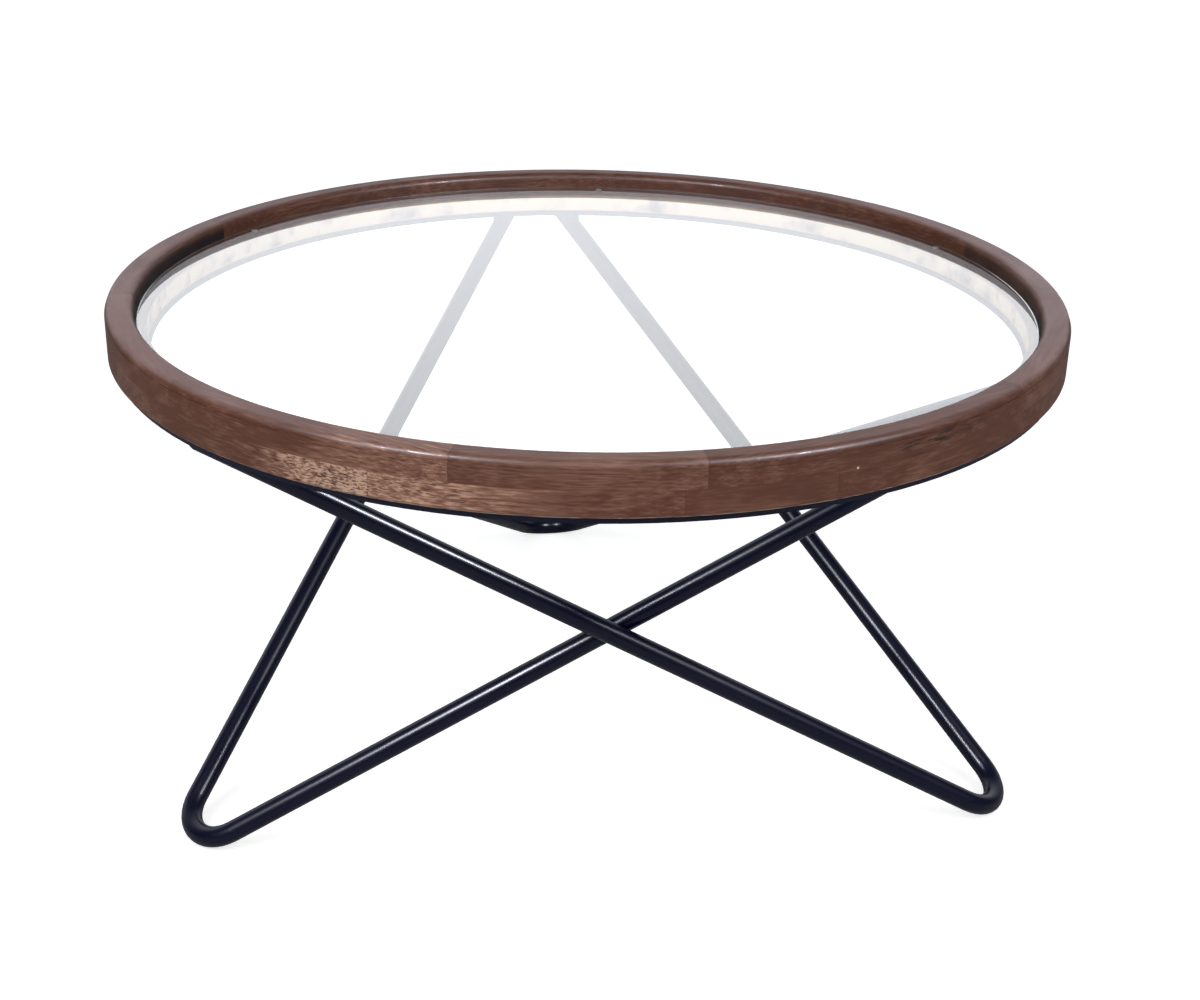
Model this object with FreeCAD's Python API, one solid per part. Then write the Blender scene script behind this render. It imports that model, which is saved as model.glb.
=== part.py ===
import FreeCAD, Part
import math
import os

# Round coffee table: a glued wood rim in two layers, a loose glass disc on its ledge,
# a flat steel ring screwed under the rim, and three bent tube legs that cross in pairs.
# Millimetres. The origin is on the floor under the centre of the rim, +Z is up and
# an azimuth is counted from +X towards +Y. The first pair of leg ends is on +Y.

# Overall sizes
table_height = 415.0
rim_diameter = 800.0

# Wood rim: two layers of curved boards, butted end to end at shares of a full turn
layer_height = 20.5
rim_width = 23.0
ledge_width = 9.0
outer_edge_round = 5.0
quirk_depth = 0.8
quirk_height = 1.0
inner_edge_round = 6.0
bottom_edge_chamfer = 2.5
upper_joint_shares = [0.040, 0.125, 0.215, 0.310, 0.405, 0.500, 0.590, 0.689, 0.758, 0.873, 0.960]
lower_joint_shares = [0.080, 0.167, 0.262, 0.354, 0.438, 0.545, 0.666, 0.752, 0.796, 0.883, 0.980]

# Glass disc and the clear bumpers that it rests on
glass_thickness = 6.0
glass_gap = 1.5
glass_arris = 1.0
bumper_count = 6
bumper_diameter = 6.0
bumper_thickness = 1.0
bumper_start_angle = 20.0

# Flat steel ring under the rim and the wood screws that hold it
ring_thickness = 5.0
ring_inset = 5.0
ring_lip_overhang = 2.0
screw_count = 6
screw_start_angle = 12.0
screw_diameter = 4.5
screw_hole_clearance = 0.5
screw_length = 18.0
screw_tip_length = 3.0
screw_head_diameter = 9.0
screw_head_height = 2.8
screw_head_chamfer = 1.2

# Bent tube legs
pair_count = 3
first_pair_azimuth = 90.0
tube_diameter = 17.2
tube_wall = 2.0
bend_radius = 35.0
arm_meeting_radius = 426.5
outer_arm_inset = 12.0
inner_arm_inset = 18.0
pair_spread = 58.0
tip_inset = 5.0
crossing_gap = 0.2
crossing_weld_diameter = 9.0
ring_weld_size = 4.0
ring_weld_toe = 0.4

# How far a cutting tool runs past what it cuts
overrun = 30.0

# Worked out from the sizes above
rim_radius = rim_diameter / 2
rim_inner_radius = rim_radius - rim_width
lip_radius = rim_inner_radius - ledge_width
ledge_height = table_height - layer_height
rim_bottom = ledge_height - layer_height
ring_bottom = rim_bottom - ring_thickness
ring_outer_radius = rim_radius - ring_inset
ring_inner_radius = lip_radius - ring_lip_overhang
screw_radius = (ring_outer_radius + ring_inner_radius) / 2
glass_radius = rim_inner_radius - glass_gap
glass_bottom = ledge_height + bumper_thickness
tube_radius = tube_diameter / 2
tip_radius = ring_outer_radius - tip_inset

# The search for the feet's places halves a range of this many degrees each way
twist_limit = 12.0
search_steps = 40

Vector = FreeCAD.Vector
ORIGIN = Vector(0, 0, 0)
UP = Vector(0, 0, 1)
FULL_TURN = 360.0


def polar(radius, azimuth, height=0):
    """Point at a radius, an azimuth in degrees and a height."""
    turn = math.radians(azimuth)
    return Vector(radius * math.cos(turn), radius * math.sin(turn), height)


def unit(vector):
    """The same direction at length one."""
    return vector / vector.Length


def line(start, end):
    """Straight edge between two points."""
    return Part.LineSegment(start, end).toShape()


def rounded_profile(corners):
    """Face in the XZ plane from corners given as radius, height and corner round."""
    points = [Vector(radius, 0, height) for radius, height, _ in corners]
    starts = []
    ends = []
    arcs = []
    for index, (_, _, corner_round) in enumerate(corners):
        corner = points[index]
        to_before = unit(points[index - 1] - corner)
        to_after = unit(points[(index + 1) % len(points)] - corner)
        starts.append(corner + to_before * corner_round)
        ends.append(corner + to_after * corner_round)
        if corner_round > 0:
            centre = starts[-1] + to_after * corner_round
            middle = centre + unit(corner - centre) * corner_round
            arcs.append(Part.Arc(starts[-1], middle, ends[-1]).toShape())
    sides = [line(ends[index - 1], starts[index]) for index in range(len(points))]
    return Part.Face(Part.Wire(Part.__sortEdges__(sides + arcs)))


def turned(profile, start_azimuth=0, angle=FULL_TURN):
    """Solid of revolution of a profile about the table's axis."""
    placed = profile.copy()
    placed.rotate(ORIGIN, UP, start_azimuth)
    return placed.revolve(ORIGIN, UP, angle)


def upper_board_profile():
    """Top layer: rounded inner edge, and a rounded outer edge with a quirk under it."""
    quirk_radius = rim_radius - quirk_depth
    shoulder_height = table_height - outer_edge_round - quirk_height
    return rounded_profile([
        (rim_inner_radius, ledge_height, 0),
        (rim_inner_radius, table_height, inner_edge_round),
        (quirk_radius, table_height, outer_edge_round),
        (quirk_radius, shoulder_height, 0),
        (rim_radius, shoulder_height, 0),
        (rim_radius, ledge_height, 0),
    ])


def lower_board_profile():
    """Bottom layer: it stands further in than the top layer, as the glass's ledge."""
    return rounded_profile([
        (lip_radius, rim_bottom, 0),
        (lip_radius, ledge_height, 0),
        (rim_radius, ledge_height, 0),
        (rim_radius, rim_bottom + bottom_edge_chamfer, 0),
        (rim_radius - bottom_edge_chamfer, rim_bottom, 0),
    ])


def layer_boards(profile, joint_shares):
    """Curved boards of one layer, from each joint to the next."""
    next_shares = joint_shares[1:] + [joint_shares[0] + 1]
    return [
        turned(profile, share * FULL_TURN, (next_share - share) * FULL_TURN)
        for share, next_share in zip(joint_shares, next_shares)
    ]


def screw_azimuths():
    """Azimuths of the rim screws."""
    step = FULL_TURN / screw_count
    return [screw_start_angle + step * index for index in range(screw_count)]


def screw_shank():
    """Shank and point of a rim screw, from the ring's underside up, on the table's axis."""
    shank_radius = screw_diameter / 2
    straight = screw_length - screw_tip_length
    return turned(rounded_profile([
        (0, ring_bottom, 0),
        (shank_radius, ring_bottom, 0),
        (shank_radius, ring_bottom + straight, 0),
        (0, ring_bottom + screw_length, 0),
    ]))


def rim_screw():
    """Pan-head wood screw seated on the ring's underside, on the table's axis."""
    head_radius = screw_head_diameter / 2
    head_bottom = ring_bottom - screw_head_height
    head = turned(rounded_profile([
        (0, head_bottom, 0),
        (head_radius - screw_head_chamfer, head_bottom, 0),
        (head_radius, head_bottom + screw_head_chamfer, 0),
        (head_radius, ring_bottom, 0),
        (0, ring_bottom, 0),
    ]))
    return head.fuse(screw_shank()).removeSplitter()


def around_ring(shape):
    """Copies of a shape at every screw's place."""
    copies = []
    for azimuth in screw_azimuths():
        copy = shape.copy()
        copy.translate(polar(screw_radius, azimuth))
        copies.append(copy)
    return copies


def support_ring():
    """Flat steel ring with clearance holes for the screws."""
    ring = turned(rounded_profile([
        (ring_inner_radius, ring_bottom, 0),
        (ring_inner_radius, rim_bottom, 0),
        (ring_outer_radius, rim_bottom, 0),
        (ring_outer_radius, ring_bottom, 0),
    ]))
    hole = Part.makeCylinder(screw_diameter / 2 + screw_hole_clearance, ring_thickness, UP * ring_bottom)
    return ring.cut(around_ring(hole))


def glass_disc():
    """Glass with a flat polished edge and small ground arrises."""
    glass_top = glass_bottom + glass_thickness
    return turned(rounded_profile([
        (0, glass_bottom, 0),
        (glass_radius - glass_arris, glass_bottom, 0),
        (glass_radius, glass_bottom + glass_arris, 0),
        (glass_radius, glass_top - glass_arris, 0),
        (glass_radius - glass_arris, glass_top, 0),
        (0, glass_top, 0),
    ]))


def glass_bumpers():
    """Clear discs stuck on the ledge, under the edge of the glass."""
    middle = (lip_radius + glass_radius) / 2
    step = FULL_TURN / bumper_count
    places = [polar(middle, bumper_start_angle + step * index, ledge_height) for index in range(bumper_count)]
    return [Part.makeCylinder(bumper_diameter / 2, bumper_thickness, place) for place in places]


def pair_azimuth(pair):
    """Azimuth of the middle of a pair of leg ends. The leg of that number has its foot below."""
    return first_pair_azimuth + FULL_TURN / pair_count * pair


def arm_end(pair, inset, side):
    """Where an arm's axis meets the ring's underside, to one side of its pair's middle."""
    radius = ring_outer_radius - inset
    lean = math.degrees(math.asin(pair_spread / 2 / radius))
    return polar(radius, pair_azimuth(pair) + side * lean, ring_bottom)


def arm_ends(leg):
    """Upper ends of a leg's outer and inner arm, at the two other pairs."""
    return arm_end(leg - 1, outer_arm_inset, 1), arm_end(leg + 1, inner_arm_inset, -1)


class Leg:
    """Centreline of one bent tube: two straight arms and the bend that is its foot."""

    def __init__(self, number, twist, height=0):
        self.ends = arm_ends(number)
        self.vertex = polar(arm_meeting_radius, pair_azimuth(number) + twist, height)
        self.directions = [unit(end - self.vertex) for end in self.ends]
        first, second = self.directions
        self.half_angle = first.getAngle(second) / 2
        self.bisector = unit(first + second)
        self.across = unit(first - second)
        self.bend_centre = self.vertex + self.bisector * (bend_radius / math.sin(self.half_angle))

    def lowest(self):
        """Height of the lowest point of the bend's outer surface."""
        drop = bend_radius * math.hypot(self.bisector.z, self.across.z)
        return self.bend_centre.z - drop - tube_radius

    def rod(self, radius):
        """Solid rod along the centreline, run on past the ring's underside."""
        reach = bend_radius / math.tan(self.half_angle)
        first, second = self.directions
        start = self.ends[0] + first * overrun
        bend_start = self.vertex + first * reach
        bend_end = self.vertex + second * reach
        bend_middle = self.bend_centre - self.bisector * bend_radius
        path = Part.Wire([
            line(start, bend_start),
            Part.Arc(bend_start, bend_middle, bend_end).toShape(),
            line(bend_end, self.ends[1] + second * overrun),
        ])
        section = Part.Wire([Part.makeCircle(radius, start, first)])
        return path.makePipeShell([section], True, True)


def leg_on_floor(number, twist):
    """The leg whose bend just touches the floor."""
    height = 0
    for _ in range(search_steps):
        height -= Leg(number, twist, height).lowest()
    return Leg(number, twist, height)


def crossing_points(outer_leg, inner_leg):
    """Nearest points of one leg's outer arm and another leg's inner arm."""
    outer_direction = outer_leg.directions[0]
    inner_direction = inner_leg.directions[1]
    offset = inner_leg.vertex - outer_leg.vertex
    shared = outer_direction.dot(inner_direction)
    along_outer = offset.dot(outer_direction)
    along_inner = offset.dot(inner_direction)
    spread = 1 - shared ** 2
    outer_length = (along_outer - shared * along_inner) / spread
    inner_length = (shared * along_outer - along_inner) / spread
    outer_point = outer_leg.vertex + outer_direction * outer_length
    inner_point = inner_leg.vertex + inner_direction * inner_length
    return outer_point, inner_point


def crossing_spacing(twist):
    """How far the outer arm's axis passes outside the inner arm's axis where they cross."""
    outer_point, inner_point = crossing_points(leg_on_floor(1, twist), leg_on_floor(0, twist))
    gap = outer_point - inner_point
    outward = unit(Vector(outer_point.x, outer_point.y, 0))
    return math.copysign(gap.Length, gap.dot(outward))


def foot_twist():
    """Turn of the feet about the table's axis that lets the crossing tubes just pass."""
    low = -twist_limit
    high = twist_limit
    for _ in range(search_steps):
        middle = (low + high) / 2
        if crossing_spacing(middle) > tube_diameter + crossing_gap:
            low = middle
        else:
            high = middle
    return (low + high) / 2


def above_ring_underside():
    """Cutting block for everything higher than the ring's underside."""
    half = rim_radius + overrun
    return Part.makeBox(half * 2, half * 2, overrun, Vector(-half, -half, ring_bottom))


def tip_block(end, inner_radius):
    """Block beyond a radius at an arm's end, square to the radius and under the ring."""
    azimuth = math.degrees(math.atan2(end.y, end.x))
    corner = Vector(inner_radius, -pair_spread / 2, ring_bottom - tube_diameter)
    block = Part.makeBox(rim_radius + overrun - inner_radius, pair_spread, tube_diameter + overrun, corner)
    block.rotate(ORIGIN, UP, azimuth)
    return block


def trimming_tools(leg):
    """Blocks that cut a leg's ends flush with the ring and short of its outer edge."""
    return [above_ring_underside()] + [tip_block(end, tip_radius) for end in leg.ends]


def leg_bore(leg):
    """Inside of a leg's tube. It stops a wall short of the tips, which are welded shut."""
    tip_walls = [tip_block(end, tip_radius - tube_wall) for end in leg.ends]
    return leg.rod(tube_radius - tube_wall).cut(tip_walls)


def leg_tube(leg):
    """Bent tube with both ends mitred to the ring and squared off at the tips."""
    return leg.rod(tube_radius).cut(trimming_tools(leg)).cut(leg_bore(leg))


def weld_outline(centre, direction, extra):
    """Outline of a level cut through an arm, grown by an extra width."""
    length_radius = tube_radius / direction.z + extra
    width_radius = tube_radius + extra
    ellipse = Part.Ellipse(ORIGIN, length_radius, width_radius).toShape()
    ellipse.rotate(ORIGIN, UP, math.degrees(math.atan2(direction.y, direction.x)))
    ellipse.translate(centre)
    return Part.Wire([ellipse])


def ring_welds(leg):
    """Fillet weld beads round both arms under the ring."""
    below = Part.makeCylinder(ring_inner_radius, table_height)
    tools = trimming_tools(leg) + [leg.rod(tube_radius), below]
    beads = []
    for end, direction in zip(leg.ends, leg.directions):
        toe = end - direction * (ring_weld_size / direction.z)
        outlines = [weld_outline(end, direction, ring_weld_size), weld_outline(toe, direction, ring_weld_toe)]
        beads.append(Part.makeLoft(outlines, True, True).cut(tools))
    return beads


def crossing_weld(outer_leg, inner_leg):
    """Bead that fills the hollow between two tubes where they pass each other."""
    outer_point, inner_point = crossing_points(outer_leg, inner_leg)
    between = inner_point - outer_point
    plug = Part.makeCylinder(crossing_weld_diameter / 2, between.Length, outer_point, between)
    return plug.cut([outer_leg.rod(tube_radius), inner_leg.rod(tube_radius)])


def save(name, solids):
    """Write one node: a solid, or a group of separate solids."""
    pieces = solids if isinstance(solids, list) else [solids]
    loose = [solid for piece in pieces for solid in piece.Solids]
    shape = loose[0] if len(loose) == 1 else Part.makeCompound(loose)
    shape.exportStep(f"parts/{name}.step")
    print(name, len(loose), "solids", round(shape.Volume), "mm3", "valid", shape.isValid())


def main():
    os.makedirs("parts", exist_ok=True)

    for number, board in enumerate(layer_boards(upper_board_profile(), upper_joint_shares), start=1):
        save(f"rim_upper_board_{number}", board)
    pilot_holes = around_ring(screw_shank())
    for number, board in enumerate(layer_boards(lower_board_profile(), lower_joint_shares), start=1):
        save(f"rim_lower_board_{number}", board.cut(pilot_holes))

    save("glass_top", glass_disc())
    save("glass_bumpers", glass_bumpers())
    save("support_ring", support_ring())
    save("rim_screws", around_ring(rim_screw()))

    twist = foot_twist()
    legs = [leg_on_floor(number, twist) for number in range(pair_count)]
    for number, leg in enumerate(legs, start=1):
        save(f"leg_{number}", leg_tube(leg))
        save(f"ring_welds_{number}", ring_welds(leg))
        save(f"crossing_weld_{number}", crossing_weld(leg, legs[number - 2]))
    print("foot twist", round(twist, 3), "degrees")


main()
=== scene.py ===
"""Looks of a round coffee table: wood rim, inset glass disc and crossing tube legs.

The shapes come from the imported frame. This script gives every piece its finish, replaces the
small fixings by fuller ones, and sets up the studio and the camera. Lengths are in metres, but for
the camera's lens and sensor, which are in millimetres.
"""

import logging
import math
from dataclasses import dataclass, fields
from enum import Enum
from typing import Any, Optional, Sequence, Union

import bmesh
import bpy
from bpy.types import Material, Node, NodeSocket, NodeTree, Object
from mathutils import Euler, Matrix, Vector

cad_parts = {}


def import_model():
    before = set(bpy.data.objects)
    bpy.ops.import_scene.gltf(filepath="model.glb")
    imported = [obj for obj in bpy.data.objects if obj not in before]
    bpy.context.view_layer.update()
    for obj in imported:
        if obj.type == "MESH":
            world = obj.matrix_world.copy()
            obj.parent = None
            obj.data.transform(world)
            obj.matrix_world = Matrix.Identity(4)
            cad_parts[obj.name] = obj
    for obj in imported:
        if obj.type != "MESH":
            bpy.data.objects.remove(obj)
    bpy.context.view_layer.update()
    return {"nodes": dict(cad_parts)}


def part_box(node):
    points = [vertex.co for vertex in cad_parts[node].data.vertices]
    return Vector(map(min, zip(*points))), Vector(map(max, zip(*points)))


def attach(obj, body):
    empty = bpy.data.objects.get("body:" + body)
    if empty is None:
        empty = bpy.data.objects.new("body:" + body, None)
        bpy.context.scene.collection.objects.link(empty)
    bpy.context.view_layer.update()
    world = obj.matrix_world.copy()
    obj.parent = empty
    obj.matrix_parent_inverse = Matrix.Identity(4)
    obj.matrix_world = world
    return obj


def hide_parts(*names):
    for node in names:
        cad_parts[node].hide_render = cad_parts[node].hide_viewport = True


LOG = logging.getLogger("coffee_table")
TABLE_BODY = "table"
FULL_TURN = 2 * math.pi
QUARTER_TURN = math.pi / 2
SHARP_ANGLE = math.radians(35)
SMALLEST_SINE = 1e-6
WHITE = (1.0, 1.0, 1.0)

# Octaves of finer detail in a noise.
SMOOTH = 1.0
SOFT = 2.0
CLOUDY = 2.5
RAGGED = 3.0
FINE = 4.0

Colour = tuple[float, float, float]
Grain = tuple[float, float, float]
Point = tuple[float, float, float]
Span = tuple[float, float]
Feed = Union[float, Sequence[float], NodeSocket, Material, Object]


class Slot(str, Enum):
    """Finish names that the new pieces carry."""

    SCREW = "zinc_screw"
    BUMPER = "clear_bumper"


class Layer(str, Enum):
    """The two layers of boards in the rim."""

    UPPER = "upper"
    LOWER = "lower"


class TreeBuilder:
    """Adds nodes to a shader or geometry node tree and joins them up."""

    def __init__(self, tree: NodeTree) -> None:
        """Take over a node tree.

        Args:
            tree: The tree that the nodes go into.
        """
        self.tree = tree

    def feed(self, target: Node, inputs: dict[Any, Feed]) -> None:
        """Set a node's inputs to values, or link other nodes' outputs to them.

        Args:
            target: The node.
            inputs: Values or links by the input's name or number.
        """
        for key, value in inputs.items():
            if isinstance(value, NodeSocket):
                self.tree.links.new(value, target.inputs[key])
            else:
                target.inputs[key].default_value = value

    def node(self, kind: str, inputs: Optional[dict[Any, Feed]] = None, **settings: Any) -> Node:
        """Add a node.

        Args:
            kind: The node's type name.
            inputs: Values or links by the input's name or number.
            settings: Properties of the node itself.

        Returns:
            The new node.
        """
        made = self.tree.nodes.new(kind)
        for name, value in settings.items():
            setattr(made, name, value)
        self.feed(made, inputs or {})
        return made

    def math(self, operation: str, *operands: Feed) -> NodeSocket:
        """Work out a number from one to three others."""
        return self.node("ShaderNodeMath", dict(enumerate(operands)), operation=operation).outputs[0]

    def product(self, first: Feed, *others: Feed) -> Feed:
        """Multiply two or more numbers.

        Args:
            first: The first number.
            others: The others.

        Returns:
            Their product.
        """
        for other in others:
            first = self.math("MULTIPLY", first, other)
        return first

    def swing(self, base: Feed, noise: Feed, gain: Feed) -> NodeSocket:
        """Move a number up and down with a noise that has its middle at a half."""
        return self.math("MULTIPLY_ADD", self.math("SUBTRACT", noise, 0.5), gain, base)

    def away(self, value: Feed, middle: Feed) -> NodeSocket:
        """Distance between two numbers."""
        return self.math("ABSOLUTE", self.math("SUBTRACT", value, middle))

    def vector_math(self, operation: str, *operands: Feed) -> Node:
        """Add a node that works on one or two vectors."""
        return self.node("ShaderNodeVectorMath", dict(enumerate(operands)), operation=operation)

    def axis(self, position: Feed, name: str) -> NodeSocket:
        """One coordinate of a position."""
        return self.node("ShaderNodeSeparateXYZ", {0: position}).outputs[name]

    def reach(self, position: Feed) -> NodeSocket:
        """Distance of a position from the table's upright axis."""
        flat = self.vector_math("MULTIPLY", position, (1.0, 1.0, 0.0))
        return self.vector_math("LENGTH", flat.outputs[0]).outputs["Value"]

    def between(self, value: Feed, low: Feed, high: Feed) -> NodeSocket:
        """Smooth mask that rises from 0 at low to 1 at high."""
        inputs = {"Value": value, "From Min": low, "From Max": high}
        return self.node("ShaderNodeMapRange", inputs, interpolation_type="SMOOTHSTEP").outputs[0]

    def evenly(self, value: Feed, given: tuple[Feed, Feed], wanted: tuple[Feed, Feed]) -> NodeSocket:
        """Scale a number evenly.

        Args:
            value: The number.
            given: Its values at the two ends of the scale, past which it is held.
            wanted: The results at the same two ends.

        Returns:
            The scaled number.
        """
        inputs = {"Value": value}
        inputs |= {"From Min": given[0], "From Max": given[1]}
        inputs |= {"To Min": wanted[0], "To Max": wanted[1]}
        return self.node("ShaderNodeMapRange", inputs).outputs[0]

    def mix(self, share: Feed, first: Feed, second: Feed, blend: str = "MIX") -> NodeSocket:
        """Blend two colours.

        Args:
            share: Share of the blend.
            first: Colour at share 0.
            second: Colour at share 1, or the colour blended in.
            blend: How the colours are blended.

        Returns:
            The blended colour.
        """
        ends = [(*end, 1.0) if isinstance(end, tuple) else end for end in (first, second)]
        # Sockets 6 and 7 take the two colours, and output 2 gives the blended one.
        inputs = {0: share, 6: ends[0], 7: ends[1]}
        return self.node("ShaderNodeMix", inputs, data_type="RGBA", blend_type=blend).outputs[2]

    def mix_numbers(self, share: Feed, first: Feed, second: Feed) -> NodeSocket:
        """Blend two numbers, which go into sockets 2 and 3."""
        return self.node("ShaderNodeMix", {0: share, 2: first, 3: second}).outputs[0]

    def noise(self, position: Feed, grain: Union[float, Grain], seed: Feed, detail: float) -> NodeSocket:
        """Noise, as coarse along every axis or stretched differently along each.

        Args:
            position: Where the noise is read.
            grain: Noise cells per metre.
            seed: Fourth coordinate, which picks the pattern.
            detail: Number of finer octaves.

        Returns:
            Noise from 0 to 1.
        """
        cells = grain if isinstance(grain, tuple) else (grain,) * 3
        scaled = self.vector_math("MULTIPLY", position, cells).outputs[0]
        inputs = {"Vector": scaled, "W": seed, "Scale": 1.0, "Detail": detail}
        return self.node("ShaderNodeTexNoise", inputs, noise_dimensions="4D").outputs[0]

    def object_position(self) -> NodeSocket:
        """Position on the object, in metres, in the table's own frame."""
        return self.node("ShaderNodeTexCoord").outputs["Object"]

    def bumped(self, height: Feed, strength: float, depth: float) -> NodeSocket:
        """Normal of a surface with small relief, where strength is the share of its depth that shows."""
        inputs = {"Height": height, "Strength": strength, "Distance": depth}
        return self.node("ShaderNodeBump", inputs).outputs["Normal"]


def new_tree(name: str, kind: str, inputs: dict[str, str], outputs: dict[str, str]) -> NodeTree:
    """Make an empty node tree with named sockets.

    Args:
        name: Name of the tree.
        kind: Its type name.
        inputs: Socket type by input name.
        outputs: Socket type by output name.

    Returns:
        The tree.
    """
    tree = bpy.data.node_groups.new(name, kind)
    for direction, sockets in (("INPUT", inputs), ("OUTPUT", outputs)):
        for label, socket_kind in sockets.items():
            tree.interface.new_socket(label, in_out=direction, socket_type=socket_kind)
    return tree


def new_material(name: str) -> tuple[Material, TreeBuilder, Node]:
    """Make a node material.

    Args:
        name: Name of the material.

    Returns:
        The material, a builder for its tree and its Principled BSDF.
    """
    material = bpy.data.materials.new(name)
    material.use_nodes = True
    return material, TreeBuilder(material.node_tree), material.node_tree.nodes["Principled BSDF"]


def new_object(name: str, data: Any) -> Object:
    """Make an object of a mesh, a lamp or a camera, and put it into the scene."""
    made = bpy.data.objects.new(name, data)
    bpy.context.scene.collection.objects.link(made)
    return made


@dataclass(frozen=True)
class BoardLook:
    """How one board's wood differs from the others.

    Tone and redness shift the stain, and fibres, streaks and pores say how strongly each shows.
    The golden figure is a paler patch where the stain took less; its place and width are angles
    from the board's middle, towards greater azimuths. The painted corner shade is how dark shade is
    painted on the inner wall in the corner above the glass. The scar is a place with dark mineral
    dashes, and the speck is a dot of pale filler, at an angle and a height. Unless they are given,
    both lie off the board.
    """

    tone: float = 0.0
    redness: float = 0.0
    fibres: float = 0.70
    streaks: float = 0.16
    pores: float = 0.5
    figure: float = 0.0
    figure_angle: float = 0.0
    figure_width: float = 6.0
    # Strength of the painted shade in the corner above the glass.
    pooled: float = 0.08
    scar_angle: float = 90.0
    scar_width: float = 5.0
    scar_height: float = 0.405
    seed: float = 0.0
    speck: Span = (90.0, 0.0)


LOOK_LABELS = {
    item.name.replace("_", " ").title(): item.name for item in fields(BoardLook) if item.type is float
}


@dataclass(frozen=True)
class BoardPlace:
    """Where a board lies round the rim, in radians."""

    middle: float
    half_angle: float

    @classmethod
    def of(cls, node: Object) -> "BoardPlace":
        """Read a board's place from its own mesh.

        Args:
            node: The board's object in the frame.

        Returns:
            The board's place.
        """
        corners = [vertex.co for vertex in node.data.vertices]
        total = sum((Vector((point.x, point.y)).normalized() for point in corners), Vector((0.0, 0.0)))
        guess = math.atan2(total.y, total.x)
        turns = [math.remainder(math.atan2(point.y, point.x) - guess, FULL_TURN) for point in corners]
        low = min(turns)
        high = max(turns)
        return cls(guess + (low + high) / 2, (high - low) / 2)


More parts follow.
